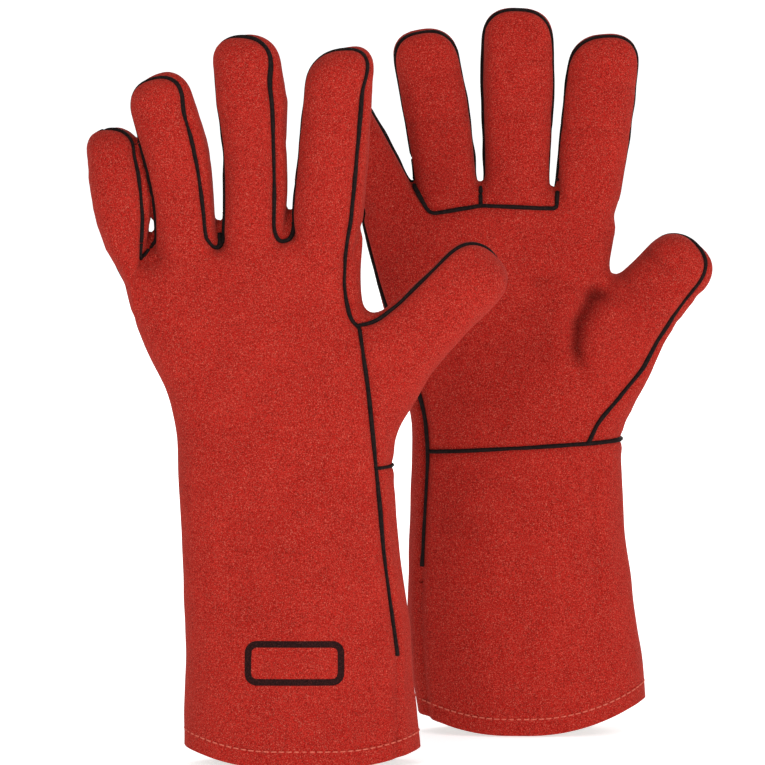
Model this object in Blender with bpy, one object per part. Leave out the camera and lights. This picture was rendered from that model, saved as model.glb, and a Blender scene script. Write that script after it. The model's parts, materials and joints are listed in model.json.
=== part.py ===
"""A pair of split-leather welding gauntlets standing upright on their hems, +Z up.

Each glove is laid out in its own frame, in millimetres: u to the right, w from the back of
the hand (negative) to the palm (positive) and v up from the hem. Both thumbs point to the
right, so the second glove is the first one's kind with w turned round: its palm faces the
other glove's palm. Nodes are turned into metres when they are placed.
"""

import math

import bmesh
import bpy
from mathutils import Vector

MM = 0.001
WALL = 2.2  # split leather
GAP = 0.3  # between neighbouring pieces
LINING_WALL = 1.2
WELT_RADIUS = 1.1
WELT_SINK = 0.5  # how far a side welt's centre lies inside the leather's surface
SEAM_HALF_GAP = WELT_RADIUS + GAP
GROOVE_EASE = 0.15  # a groove's flats lie nearer than its corners
ROUNDNESS = 2.6  # superellipse power of the sections
SEAM_TILT = 0.325  # a finger's seam lies this share of its depth lower at the thumb side
SEAM_BACK = 0.175  # and this share of it toward the back of the hand

WRIST_V = 140.0  # height of the wrist's folding line
WRIST_BALL = 23.0  # radius of the hand shell's rounded lower rim about that line
RIM_ANGLES = (0.0, 18.0, 42.0)  # degrees down that rim
RIM_INSETS = (1.9, 4.0, 7.0)  # how much narrower than the cuff's hollow the rim is there
CUFF_RIM_V = 135.0
CUFF_RIM_SLOPE = 0.06  # the cuff's rim is lower at the palm side
FOLD_W = 6.0  # finger and thumb folding lines lie this far toward the palm
FINGER_SWING = 70.0
THUMB_SWING = 50.0
NOTCH_MARGIN = 3.0  # degrees more room than half the swing, in the hand

HEM_FLAT = 0.6  # the hem is flat over this share of its width
HEM_THREAD_V = 8.0
HEM_THREAD_RADIUS = 0.45
HAND_SEAM = (-1.17, -0.12, -0.0164)  # w = constant + u and v slopes
CUFF_SEAM = (-3.4, -0.15, 0.0)
LINING_HEM_V = 14.0  # the cuff lining runs from here
LINING_RIM_V = 113.0  # to here
LINING_TOP_DROP = 9.0  # the hand lining stops this far under the finger folds
FINGER_WELT_DROP = 10.0
WRIST_WELT_V = 130.0
WRIST_WELT_SPAN = (0.12, 0.76)  # where it starts and how far it runs, as shares of the width
WRIST_WELT_STEPS = 7
WRIST_WELT_LIFT = 0.3  # how far a bedded welt's centre lies outside the surface
ROOT_WELT_LIFT = 0.2
CUFF_WELT_MIDDLE = 99.0
CUFF_WELT_DROP = 2.5  # a side welt stops this far under the cuff's rim
HAND_WELT_HEIGHTS = (WRIST_V + 1.0, 152.0, 165.0, 187.0, 206.0, 233.0)
HAND_WELT_DROP = 2.0
THUMB_SIDE_STEPS = 5
THUMB_SIDE_MARGIN = 1.0
THUMB_FOLD_MARGINS = (2.0, 1.5)  # how far the thumb's opening runs past its folding line
HEM_THREAD_SAG = 0.85  # the thread follows this share of the hem's rise
HEM_THREAD_CLEARANCE = 0.15
FINGER_ROOT = -14.0  # a finger's body starts this far before its folding line
FINGER_SWELL = 1.03  # it is this much wider at
FINGER_SWELL_AT = 0.4  # this share of its length
FINGER_WELT_START = 4.0
THUMB_WELT_START = 24.0
TIP_LIFT = 0.2  # a digit's welt clears its tip by this much
FAR = 400.0

HAND_POINTS = 26
FINGER_POINTS = 14
WELT_SIDES = 4
LINING_POINTS = 20
JOIN_DISTANCE = 0.0001  # joins a cord's end caps to its sides
SEAM_ROUNDS = 12  # passes that settle where a seam meets a curved section
SIDE_LIMIT = 0.999  # a seam stays this far inside a section's flattest edge
FRONT_LIMIT = 0.98
SHARP_ANGLE = 40.0  # degrees; flatter edges are shaded smooth

LEATHER = (0.42, 0.028, 0.018)
WELT_COLOUR = (0.025, 0.016, 0.014)
LINING_COLOUR = (0.72, 0.66, 0.55)
THREAD_COLOUR = (0.80, 0.66, 0.55)

# Cuff and hand sections: height, left edge, right edge, half-depth.
# Fingers: name, pinky-side and thumb-side ends of the folding line (u, v), lean in degrees to
# the thumb side, length from the folding line and half-width.
# Thumb: lean, length, pairs of distance and half-width, half-width of the tip.
LEFT = {
    "name": "left",
    "palm": 1.0,
    "at": (-47.1, -75.0),
    "hem_rise": (8.0, 8.0),
    "cuff": (
        (0.0, -56.6, 56.0, 31.0),
        (55.0, -55.7, 51.0, 29.0),
        (99.0, -57.6, 47.0, 27.0),
        (CUFF_RIM_V, -58.6, 43.2, 25.8),
    ),
    "hand": (
        (152.0, -58.5, 41.5, 23.0),
        (165.0, -61.5, 48.0, 22.3),
        (187.0, -69.5, 46.0, 20.8),
        (206.0, -78.5, 39.0, 19.0),
        (219.0, -83.5, 29.5, 17.8),
        (233.0, -89.0, 28.6, 16.0),
        (270.0, -100.0, 30.0, 13.2),
    ),
    "fingers": (
        ("pinky", (-97.0, 245.0), (-71.0, 247.0), -12.0, 57.0, 12.0),
        ("ring", (-71.0, 247.0), (-40.0, 251.0), -10.0, 79.5, 14.6),
        ("middle", (-40.0, 251.0), (-7.0, 257.0), -3.5, 92.0, 15.8),
        ("index", (-7.0, 257.0), (29.0, 255.0), 6.5, 86.0, 17.0),
    ),
    "thumb_fold": ((41.0, 157.0), (28.0, 218.0)),
    "thumb": (46.0, 78.0, ((-18.0, 27.5), (0.0, 25.0), (15.0, 20.5), (30.0, 17.8)), 17.2),
    "welt_ends": (80.0, 50.0),
}
RIGHT = {
    "name": "right",
    "palm": -1.0,
    "at": (62.9, 75.0),
    "hem_rise": (6.0, 20.0),
    "cuff": (
        (0.0, -53.0, 53.0, 31.0),
        (50.0, -59.8, 49.5, 29.0),
        (95.0, -59.5, 45.0, 27.0),
        (CUFF_RIM_V, -58.0, 43.9, 25.8),
    ),
    "hand": (
        (152.0, -58.5, 43.0, 23.0),
        (165.0, -60.5, 50.0, 22.3),
        (187.0, -66.5, 50.0, 20.8),
        (206.0, -72.0, 46.0, 19.0),
        (220.0, -75.5, 38.0, 17.8),
        (233.0, -79.0, 40.0, 16.0),
        (274.0, -87.0, 44.0, 13.2),
    ),
    "fingers": (
        ("pinky", (-83.0, 256.0), (-58.0, 266.0), -27.0, 50.0, 12.4),
        ("ring", (-58.0, 266.0), (-25.0, 265.0), -8.0, 75.5, 15.4),
        ("middle", (-25.0, 265.0), (10.0, 263.0), 0.0, 87.0, 16.5),
        ("index", (10.0, 263.0), (43.0, 254.0), 6.0, 81.0, 16.1),
    ),
    "thumb_fold": ((43.0, 160.0), (36.5, 219.0)),
    "thumb": (43.0, 66.0, ((-18.0, 26.0), (0.0, 24.0), (14.0, 20.0), (28.0, 17.2)), 16.6),
    "welt_ends": (80.0, 50.0),
}
FINGER_DEPTH = (12.6, 12.0)  # half-depth at the fold and at the tip
THUMB_DEPTH = (15.5, 13.0)
TIP_STEPS = (0.0, 0.55, 0.9)  # shares of the tip's radius where its sections lie


def clear_scene():
    for item in list(bpy.data.objects):
        bpy.data.objects.remove(item, do_unlink=True)


def superellipse(half_width, half_depth, count):
    points = []
    for index in range(count):
        angle = 2.0 * math.pi * (index + 0.5) / count
        c = math.cos(angle)
        s = math.sin(angle)
        x = half_width * math.copysign(abs(c) ** (2.0 / ROUNDNESS), c)
        y = half_depth * math.copysign(abs(s) ** (2.0 / ROUNDNESS), s)
        points.append((x, y))
    return points


def add_object(name, mesh):
    item = bpy.data.objects.new(name, mesh)
    bpy.context.scene.collection.objects.link(item)
    return item


def object_from(bm, name):
    bmesh.ops.recalc_face_normals(bm, faces=bm.faces)
    mesh = bpy.data.meshes.new(name)
    bm.to_mesh(mesh)
    bm.free()
    return add_object(name, mesh)


def bridge(bm, first, second):
    for index in range(len(first)):
        after = (index + 1) % len(first)
        bm.faces.new((first[index], first[after], second[after], second[index]))


def shell(name, outer, inner, closed_end):
    """A hollow body between two stacks of rings, closed over the last ring when asked."""
    bm = bmesh.new()
    loops = []
    for stack in (outer, inner):
        loops.append([[bm.verts.new(point) for point in ring] for ring in stack])
    for stack in loops:
        for below, above in zip(stack, stack[1:]):
            bridge(bm, below, above)
    bridge(bm, loops[0][0], loops[1][0])
    if closed_end:
        bm.faces.new(loops[0][-1])
        bm.faces.new(loops[1][-1])
    else:
        bridge(bm, loops[0][-1], loops[1][-1])
    return object_from(bm, name)


def prism(name, outlines):
    """A closed solid through outlines of the same number of points, for use as a cutter."""
    bm = bmesh.new()
    loops = [[bm.verts.new(point) for point in outline] for outline in outlines]
    for below, above in zip(loops, loops[1:]):
        bridge(bm, below, above)
    bm.faces.new(loops[0])
    bm.faces.new(loops[-1])
    return object_from(bm, name)


def cut(item, cutter, operation):
    modifier = item.modifiers.new("Cut", "BOOLEAN")
    modifier.operation = operation
    modifier.solver = "EXACT"
    modifier.object = cutter
    depsgraph = bpy.context.evaluated_depsgraph_get()
    mesh = bpy.data.meshes.new_from_object(item.evaluated_get(depsgraph))
    item.modifiers.clear()
    item.data = mesh
    bpy.data.objects.remove(cutter, do_unlink=True)


def copy_of(item, name):
    return add_object(name, item.data.copy())


def tube(name, path, radius, closed=False):
    """A round cord along a path, with filled ends."""
    curve = bpy.data.curves.new(name, "CURVE")
    curve.dimensions = "3D"
    curve.bevel_depth = radius
    curve.bevel_resolution = WELT_SIDES // 2 - 1
    curve.use_fill_caps = True
    spline = curve.splines.new("POLY")
    spline.points.add(len(path) - 1)
    for point, place in zip(spline.points, path):
        point.co = (*place, 1.0)
    spline.use_cyclic_u = closed
    item = add_object(name, curve)
    depsgraph = bpy.context.evaluated_depsgraph_get()
    mesh = bpy.data.meshes.new_from_object(item.evaluated_get(depsgraph))
    bpy.data.objects.remove(item, do_unlink=True)
    bm = bmesh.new()
    bm.from_mesh(mesh)
    bmesh.ops.remove_doubles(bm, verts=bm.verts, dist=JOIN_DISTANCE)
    bpy.data.meshes.remove(mesh)
    return object_from(bm, name)


def material(name, colour, roughness):
    made = bpy.data.materials.new(name)
    made.use_nodes = True
    shader = made.node_tree.nodes["Principled BSDF"]
    shader.inputs["Base Color"].default_value = (*colour, 1.0)
    shader.inputs["Roughness"].default_value = roughness
    shader.inputs["Metallic"].default_value = 0.0
    made.diffuse_color = (*colour, 1.0)
    return made


def leather(name):
    return material(name + "_leather", LEATHER, 0.85)


def welting(name):
    return material(name + "_welting", WELT_COLOUR, 0.7)


def lining_cloth(name):
    return material(name + "_cloth", LINING_COLOUR, 0.95)


def sewing_thread(name):
    return material(name + "_thread", THREAD_COLOUR, 0.8)


def place(glove, item, name, pivot, made):
    """Puts a piece into the pair's frame, with its origin at its joint."""
    palm = glove["palm"]
    shift_x, shift_y = glove["at"]
    origin = Vector((shift_x + pivot[0], shift_y + palm * pivot[1], pivot[2]))
    mesh = item.data
    for vertex in mesh.vertices:
        u, w, v = vertex.co
        vertex.co = (Vector((shift_x + u, shift_y + palm * w, v)) - origin) * MM
    if palm < 0.0:
        mesh.flip_normals()
    mesh.materials.clear()
    item.name = f"{glove['name']}_{name}"
    mesh.name = item.name
    mesh.materials.append(made(item.name))
    item.location = origin * MM
    mesh.shade_smooth()
    mesh.set_sharp_from_angle(angle=math.radians(SHARP_ANGLE))


def level_ring(left, right, half_depth, height, inset, count, height_at=None):
    """A section at one height; height_at(u, w) lets its points rise and fall."""
    centre = 0.5 * (left + right)
    ring = []
    for x, w in superellipse(0.5 * (right - left) - inset, half_depth - inset, count):
        u = centre + x
        v = height if height_at is None else height + height_at(u, w)
        ring.append(Vector((u, w, v)))
    return ring


def hem_height(glove):
    _, left, right, _ = glove["cuff"][0]
    centre = 0.5 * (left + right)
    half = 0.5 * (right - left)
    rises = glove["hem_rise"]

    def rise(u, w):
        share = (u - centre) / half
        beyond = max(0.0, (abs(share) - HEM_FLAT) / (1.0 - HEM_FLAT))
        return rises[1 if share > 0.0 else 0] * beyond**2

    return rise


def rim_height(u, w):
    return -CUFF_RIM_SLOPE * w


def cuff_rings(glove, inset):
    rings = []
    sections = glove["cuff"]
    shapes = [hem_height(glove)] + [None] * (len(sections) - 2) + [rim_height]
    for (height, left, right, depth), shape in zip(sections, shapes):
        rings.append(level_ring(left, right, depth, height, inset, HAND_POINTS, shape))
    return rings


def cuff_lining_rings(glove, inset):
    heights = [LINING_HEM_V] + [section[0] for section in glove["cuff"][1:-1]] + [LINING_RIM_V]
    rings = []
    for wanted in heights:
        height, left, right, depth = between(glove["cuff"], wanted)
        rings.append(level_ring(left, right, depth, height, inset, HAND_POINTS))
    return rings


def rim_sections(glove):
    """The hand shell's rounded lower rim, which works inside the cuff."""
    _, left, right, _ = glove["cuff"][-1]
    sections = []
    for angle, inset in zip(reversed(RIM_ANGLES), reversed(RIM_INSETS)):
        turn = math.radians(angle)
        sections.append(
            (
                WRIST_V - WRIST_BALL * math.sin(turn),
                left + WALL + inset,
                right - WALL - inset,
                WRIST_BALL * math.cos(turn),
            )
        )
    return sections


def hand_rings(glove, inset, count=HAND_POINTS):
    sections = rim_sections(glove) + list(glove["hand"])
    return [
        level_ring(left, right, depth, height, inset, count)
        for height, left, right, depth in sections
    ]


def fold_points(glove):
    fingers = glove["fingers"]
    return [fingers[0][1]] + [finger[2] for finger in fingers]


def above_folds(glove, drop, notch):
    """Everything above the finger folds, with a notch running down toward the palm."""
    points = fold_points(glove)
    points = [(-FAR, points[0][1])] + points + [(FAR, points[-1][1])]
    fall = (FAR - FOLD_W) * math.tan(math.radians(notch))
    outlines = []
    for u, v in points:
        base = v - drop
        outlines.append(
            (
                (u, -FAR, base),
                (u, FOLD_W, base),
                (u, FAR, base - fall),
                (u, FAR, FAR),
                (u, -FAR, FAR),
            )
        )
    return prism("above_folds", outlines)


def beside_thumb(glove, gap, notch):
    """Everything to the thumb's side of its folding line, between the line's ends."""
    low, high = glove["thumb_fold"]
    slope = (high[0] - low[0]) / (high[1] - low[1])
    opening = (FAR - FOLD_W) * math.tan(math.radians(notch))
    outlines = []
    for v in (low[1] - THUMB_FOLD_MARGINS[0], high[1] + THUMB_FOLD_MARGINS[1]):
        u = low[0] + slope * (v - low[1]) - gap
        outlines.append(
            (
                (u, -FAR, v),
                (u, FOLD_W, v),
                (u - opening, FAR, v),
                (FAR, FAR, v),
                (FAR, -FAR, v),
            )
        )
    return prism("beside_thumb", outlines)


def seam_side(plane, side, half_gap):
    """The half-space on one side of the seam surface w = c + a u + b v."""
    constant, across, up = plane
    reach = side * FAR * 3.0
    outlines = []
    for v in (-FAR, FAR):
        low = constant - across * FAR + up * v + side * half_gap
        high = constant + across * FAR + up * v + side * half_gap
        outlines.append(((-FAR, low, v), (FAR, high, v), (FAR, reach, v), (-FAR, reach, v)))
    return prism("seam_side", outlines)


def halves(item, plane):
    """The back and palm panels of a shell, a seam's width apart."""
    front = copy_of(item, "front")
    cut(item, seam_side(plane, -1.0, SEAM_HALF_GAP), "INTERSECT")
    cut(front, seam_side(plane, 1.0, SEAM_HALF_GAP), "INTERSECT")
    return item, front


def seam_point(section, plane, side, sink=WELT_SINK):
    """Where the seam surface meets a level section's outline, sunk a little."""
    height, left, right, depth = section
    constant, across, up = plane
    centre = 0.5 * (left + right)
    half = 0.5 * (right - left)
    u = left if side < 0.0 else right
    for _ in range(SEAM_ROUNDS):
        w = constant + across * u + up * height
        share = min(SIDE_LIMIT, abs(w) / depth)
        u = centre + side * half * (1.0 - share**ROUNDNESS) ** (1.0 / ROUNDNESS)
    return Vector((u - side * sink, constant + across * u + up * height, height))


def between(sections, height):
    """The section at a height between two listed ones."""
    for below, above in zip(sections, sections[1:]):
        if below[0] <= height <= above[0]:
            share = (height - below[0]) / (above[0] - below[0])
            return tuple(p + share * (q - p) for p, q in zip(below, above))
    return sections[0] if height < sections[0][0] else sections[-1]


def surface_point(sections, u, height, outward):
    """A point of the palm side's surface."""
    _, left, right, depth = between(sections, height)
    share = min(FRONT_LIMIT, abs(2.0 * u - left - right) / (right - left))
    w = depth * (1.0 - share**ROUNDNESS) ** (1.0 / ROUNDNESS)
    return Vector((u, w + outward, height))


def grooved_cord(panel, name, path):
    """A welt bedded in a slightly longer groove of a panel."""
    first = path[0] + (path[0] - path[1]).normalized() * 2.0 * GAP
    last = path[-1] + (path[-1] - path[-2]).normalized() * 2.0 * GAP
    groove = tube("groove", [first] + path[1:-1] + [last], WELT_RADIUS + GAP + GROOVE_EASE)
    cut(panel, groove, "DIFFERENCE")
    return tube(name, path, WELT_RADIUS)


def build_cuff(glove):
    pivot = (0.0, 0.0, WRIST_V)
    body = shell("cuff", cuff_rings(glove, 0.0), cuff_rings(glove, WALL), False)
    back, front = halves(body, CUFF_SEAM)
    sections = glove["cuff"]
    _, left, right, _ = sections[-1]
    start, span = WRIST_WELT_SPAN
    path = []
    for index in range(WRIST_WELT_STEPS):
        share = start + span * index / (WRIST_WELT_STEPS - 1)
        u = left + (right - left) * share
        path.append(surface_point(sections, u, WRIST_WELT_V, WRIST_WELT_LIFT))
    welt = grooved_cord(front, "wrist_welt", path)
    place(glove, back, "cuff_back", pivot, leather)
    place(glove, front, "cuff_palm_side", pivot, leather)
    place(glove, welt, "wrist_welt", pivot, welting)
    for side, label, end in ((-1.0, "pinky", 0), (1.0, "thumb", 1)):
        heights = [glove["welt_ends"][end], CUFF_WELT_MIDDLE, CUFF_RIM_V - CUFF_WELT_DROP]
        path = [seam_point(between(sections, v), CUFF_SEAM, side) for v in heights]
        welt = tube("welt", path, WELT_RADIUS)
        place(glove, welt, f"cuff_welt_{label}_side", pivot, welting)
    cloth = shell(
        "cuff_lining",
        cuff_lining_rings(glove, WALL + 2.0 * GAP),
        cuff_lining_rings(glove, WALL + 2.0 * GAP + LINING_WALL),
        False,
    )
    place(glove, cloth, "cuff_lining", pivot, lining_cloth)
    build_hem_thread(glove, pivot)


def build_hem_thread(glove, pivot):
    _, left, right, depth = between(glove["cuff"], HEM_THREAD_V)
    rise = hem_height(glove)
    offset = -(HEM_THREAD_RADIUS + GAP + HEM_THREAD_CLEARANCE)

    def sagging(u, w):
        return HEM_THREAD_SAG * rise(u, w)

    ring = level_ring(left, right, depth, HEM_THREAD_V, offset, HAND_POINTS, sagging)
    thread = tube("thread", ring, HEM_THREAD_RADIUS, closed=True)
    place(glove, thread, "hem_thread", pivot, sewing_thread)


def root_path(glove, sections):
    """A line across the palm under the ring and middle fingers' folding lines."""
    ring_finger = glove["fingers"][1]
    middle_finger = glove["fingers"][2]
    path = []
    for finger, share in (
        (ring_finger, 0.1),
        (ring_finger, 0.5),
        (middle_finger, 0.0),
        (middle_finger, 0.5),
        (middle_finger, 0.95),
    ):
        _, first, second, _, _, _ = finger
        u = first[0] + share * (second[0] - first[0])
        v = first[1] + share * (second[1] - first[1]) - FINGER_WELT_DROP
        path.append(surface_point(sections, u, v, ROOT_WELT_LIFT))
    return path


def build_hand(glove):
    pivot = (0.0, 0.0, WRIST_V)
    body = shell("hand", hand_rings(glove, 0.0), hand_rings(glove, WALL), False)
    half_swing = 0.5 * FINGER_SWING + NOTCH_MARGIN
    cut(body, above_folds(glove, GAP, half_swing), "DIFFERENCE")
    thumb_half = 0.5 * THUMB_SWING + NOTCH_MARGIN
    cut(body, beside_thumb(glove, SEAM_HALF_GAP, thumb_half), "DIFFERENCE")
    back, palm = halves(body, HAND_SEAM)
    sections = rim_sections(glove) + list(glove["hand"])
    welt = grooved_cord(palm, "finger_base_welt", root_path(glove, sections))
    place(glove, back, "hand_back", pivot, leather)
    place(glove, palm, "palm", pivot, leather)
    place(glove, welt, "finger_base_welt", pivot, welting)
    build_hand_welts(glove, sections, pivot)
    cloth = shell(
        "hand_lining",
        hand_rings(glove, WALL + 2.0 * GAP, LINING_POINTS),
        hand_rings(glove, WALL + 2.0 * GAP + LINING_WALL, LINING_POINTS),
        False,
    )
    cut(cloth, above_folds(glove, LINING_TOP_DROP, half_swing), "DIFFERENCE")
    cut(cloth, beside_thumb(glove, 2.0 * SEAM_HALF_GAP, thumb_half), "DIFFERENCE")
    place(glove, cloth, "hand_lining", pivot, lining_cloth)


def build_hand_welts(glove, sections, pivot):
    low, high = glove["thumb_fold"]
    top = fold_points(glove)[0][1] - HAND_WELT_DROP
    heights = [*HAND_WELT_HEIGHTS, top]
    path = [seam_point(between(sections, v), HAND_SEAM, -1.0) for v in heights]
    place(glove, tube("welt", path, WELT_RADIUS), "hand_welt_pinky_side", pivot, welting)
    path = []
    for index in range(THUMB_SIDE_STEPS):
        share = index / (THUMB_SIDE_STEPS - 1)
        run = high[1] - low[1] - 2.0 * THUMB_SIDE_MARGIN
        v = low[1] + THUMB_SIDE_MARGIN + share * run
        u = low[0] + (v - low[1]) * (high[0] - low[0]) / (high[1] - low[1])
        depth = surface_point(sections, u, v, -WELT_SINK)[1]
        path.append(Vector((u, -depth, v)))
    place(glove, tube("welt", path, WELT_RADIUS), "hand_welt_thumb_side", pivot, welting)


def finger_frame(first, second, lean):
    base = Vector((0.5 * (first[0] + second[0]), 0.0, 0.5 * (first[1] + second[1])))
    turn = math.radians(lean)
    along = Vector((math.sin(turn), 0.0, math.cos(turn)))
    across = Vector((math.cos(turn), 0.0, -math.sin(turn)))
    return base, along, across


def digit_sections(length, widths, tip_width, depths, inset):
    """Distance along a digit, half-width and half-depth of each of its sections."""
    reach = length - inset
    radius = tip_width - inset
    start = reach - radius
    sections = []
    for along, width in widths:
        share = max(0.0, along / start)
        depth = depths[0] + share * (depths[1] - depths[0])
        sections.append((along, width - inset, depth - inset))
    for step in TIP_STEPS:
        shrink = math.sqrt(1.0 - step**2)
        sections.append((start + step * radius, radius * shrink, (depths[1] - inset) * shrink))
    return sections


def digit_rings(frame, sections):
    base, along, across = frame
    rings = []
    for distance, half_width, half_depth in sections:
        centre = base + along * distance
        rings.append(
            [
                centre + across * x + Vector((0.0, w, 0.0))
                for x, w in superellipse(half_width, half_depth, FINGER_POINTS)
            ]
        )
    return rings


def digit_keep(first, second, gap, notch):
    """The region beyond a folding line, rising toward the palm side of the digit."""
    start = Vector((first[0], 0.0, first[1]))
    end = Vector((second[0], 0.0, second[1]))
    axis = (end - start).normalized()
    beyond = Vector((-axis[2], 0.0, axis[0]))
    depth = Vector((0.0, 1.0, 0.0))
    rise = (FAR - FOLD_W) * math.tan(math.radians(notch))
    outlines = []
    for reach in (-FAR, FAR):
        origin = start + axis * reach
        outlines.append(
            (
                origin - depth * FAR + beyond * gap,
                origin + depth * FOLD_W + beyond * gap,
                origin + depth * FAR + beyond * (gap + rise),
                origin + depth * FAR + beyond * 2.0 * FAR,
                origin - depth * FAR + beyond * 2.0 * FAR,
            )
        )
    return prism("digit_keep", outlines)


def digit_seam(frame, half_width, half_depth):
    """The seam plane of a digit as w = c + a u + b v."""
    base, _, across = frame
    slope = -SEAM_TILT * half_depth / half_width
    constant = -SEAM_BACK * half_depth - slope * base.dot(across)
    return constant, slope * across[0], slope * across[2]


def digit_welt_path(frame, sections, seam_depth, slope, first_distance):
    """Up one side of a digit, over its tip and down the other, along the seam."""
    base, along, across = frame
    sides = {-1.0: [], 1.0: []}
    for distance, half_width, half_depth in sections:
        distance = max(distance, first_distance)
        for side in (-1.0, 1.0):
            x = side * half_width
            for _ in range(SEAM_ROUNDS):
                w = seam_depth + slope * x
                share = min(1.0, abs(w) / half_depth)
                x = side * half_width * (1.0 - share**ROUNDNESS) ** (1.0 / ROUNDNESS)
            if share >= 1.0:
                continue
            x -= side * WELT_SINK
            w = seam_depth + slope * x
            sides[side].append(base + along * distance + across * x + Vector((0.0, w, 0.0)))
    top = base + along * (sections[-1][0] + TIP_LIFT) + Vector((0.0, seam_depth, 0.0))
    return sides[-1.0] + [top] + sides[1.0][::-1]


def build_digit(glove, digit):
    """A hollow digit in two panels, with the welt between them."""
    name = digit["name"]
    first, second = digit["fold"]
    length = digit["length"]
    tip_width = digit["tip_width"]
    depths = digit["depths"]
    frame = finger_frame(first, second, digit["lean"])
    outer = digit_sections(length, digit["widths"], tip_width, depths, 0.0)
    inner = digit_sections(length, digit["widths"], tip_width, depths, WALL)
    body = shell(name, digit_rings(frame, outer), digit_rings(frame, inner), True)
    cut(body, digit_keep(first, second, digit["gap"], 0.5 * digit["swing"]), "INTERSECT")
    back, front = halves(body, digit_seam(frame, tip_width, depths[1]))
    slope = -SEAM_TILT * depths[1] / tip_width
    beyond = [section for section in outer if section[0] > 0.0]
    path = digit_welt_path(frame, beyond, -SEAM_BACK * depths[1], slope, digit["welt_start"])
    pivot = (frame[0][0], FOLD_W, frame[0][2])
    place(glove, back, f"{name}_back", pivot, leather)
    place(glove, front, f"{name}_front", pivot, leather)
    place(glove, tube("welt", path, WELT_RADIUS), f"{name}_welt", pivot, welting)


def build_fingers(glove):
    for name, first, second, lean, length, half_width in glove["fingers"]:
        widths = (
            (FINGER_ROOT, half_width),
            (2.0, half_width),
            (FINGER_SWELL_AT * length, half_width * FINGER_SWELL),
        )
        finger = {
            "name": name,
            "fold": (first, second),
            "lean": lean,
            "length": length,
            "widths": widths,
            "tip_width": half_width,
            "depths": FINGER_DEPTH,
            "swing": FINGER_SWING,
            "gap": GAP,
                "welt_start": FINGER_WELT_START,
        }
        build_digit(glove, finger)


def build_thumb(glove):
    low, high = glove["thumb_fold"]
    lean, length, widths, tip_width = glove["thumb"]
    thumb = {
        "name": "thumb",
        "fold": (high, low),
        "lean": lean,
        "length": length,
        "widths": widths,
        "tip_width": tip_width,
        "depths": THUMB_DEPTH,
        "swing": THUMB_SWING,
        "gap": SEAM_HALF_GAP,
        "welt_start": THUMB_WELT_START,
    }
    build_digit(glove, thumb)


def build_glove(glove):
    build_cuff(glove)
    build_hand(glove)
    build_fingers(glove)
    build_thumb(glove)


clear_scene()
build_glove(LEFT)
build_glove(RIGHT)
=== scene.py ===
"""A pair of red suede welding gauntlets, dressed over the CAD frame.

Each glove is one smooth surface, worked out in its own frame in millimetres: u to the right,
w from the back of the hand (negative) to the palm and v up from the hem. The surface is cut
along the glove's seams and at its folding lines into panels, the panels get their thickness,
and dark welts are swept along the seams.
"""

import json
import math
from functools import partial

import bpy
import numpy as np
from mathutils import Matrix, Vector


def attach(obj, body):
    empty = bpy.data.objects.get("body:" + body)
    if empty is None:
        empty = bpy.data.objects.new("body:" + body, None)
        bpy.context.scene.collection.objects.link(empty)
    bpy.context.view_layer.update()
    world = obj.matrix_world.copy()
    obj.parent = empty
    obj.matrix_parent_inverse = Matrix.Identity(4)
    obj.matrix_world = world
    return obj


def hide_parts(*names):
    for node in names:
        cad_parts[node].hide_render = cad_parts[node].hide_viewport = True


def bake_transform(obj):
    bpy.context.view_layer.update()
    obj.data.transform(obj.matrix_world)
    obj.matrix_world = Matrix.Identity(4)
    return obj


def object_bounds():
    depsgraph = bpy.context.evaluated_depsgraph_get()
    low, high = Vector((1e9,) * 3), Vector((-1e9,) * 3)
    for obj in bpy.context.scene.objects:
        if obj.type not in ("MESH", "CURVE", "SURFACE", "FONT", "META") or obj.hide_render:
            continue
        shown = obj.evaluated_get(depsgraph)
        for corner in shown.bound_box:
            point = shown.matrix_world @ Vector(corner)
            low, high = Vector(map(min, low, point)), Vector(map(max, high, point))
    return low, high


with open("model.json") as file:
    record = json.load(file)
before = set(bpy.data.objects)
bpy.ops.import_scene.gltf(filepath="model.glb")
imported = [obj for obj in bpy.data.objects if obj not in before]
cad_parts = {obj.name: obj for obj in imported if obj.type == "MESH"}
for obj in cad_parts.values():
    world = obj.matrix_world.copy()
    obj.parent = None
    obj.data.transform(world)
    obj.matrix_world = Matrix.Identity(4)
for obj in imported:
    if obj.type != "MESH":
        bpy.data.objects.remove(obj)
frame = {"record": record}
CAD_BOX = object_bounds()

GRID = 1.7  # spacing of the surface's grid
LEATHER_THICKNESS = 1.9
POWER = 2.5  # roundness of the sections
CRISP = 1e-6

WRIST = 140.0
WRIST_ZONE = (116.0, 164.0)  # the leather bends between these heights; the script only reads them and bends no piece
FINGER_ZONE = 24.0
THUMB_ZONE = 28.0

GROOVE_DEPTH = 1.0
GROOVE_WIDTH = 2.4
WELT_HALF_WIDTH = 1.0
WELT_HALF_HEIGHT = 1.35
WELT_STEP = 1.6
STITCH_PITCH = 3.6
STITCH_LENGTH = 2.5
STITCH_RADIUS = 0.38
STITCH_V = 8.0
FINGER_FILLET = 2.6
TIP_SEAM_SHIFT = 3.4  # the seams pass over the fingertips this much nearer the palm
THUMB_FILLET = 9.0
AMBIENT = 0.62  # how strongly the white surround lights the gloves
SHADE_FROM = 0.5  # painted shade: the colour of leather sunk further than this is darkened
SHADE_DEPTH = 4.0

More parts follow.
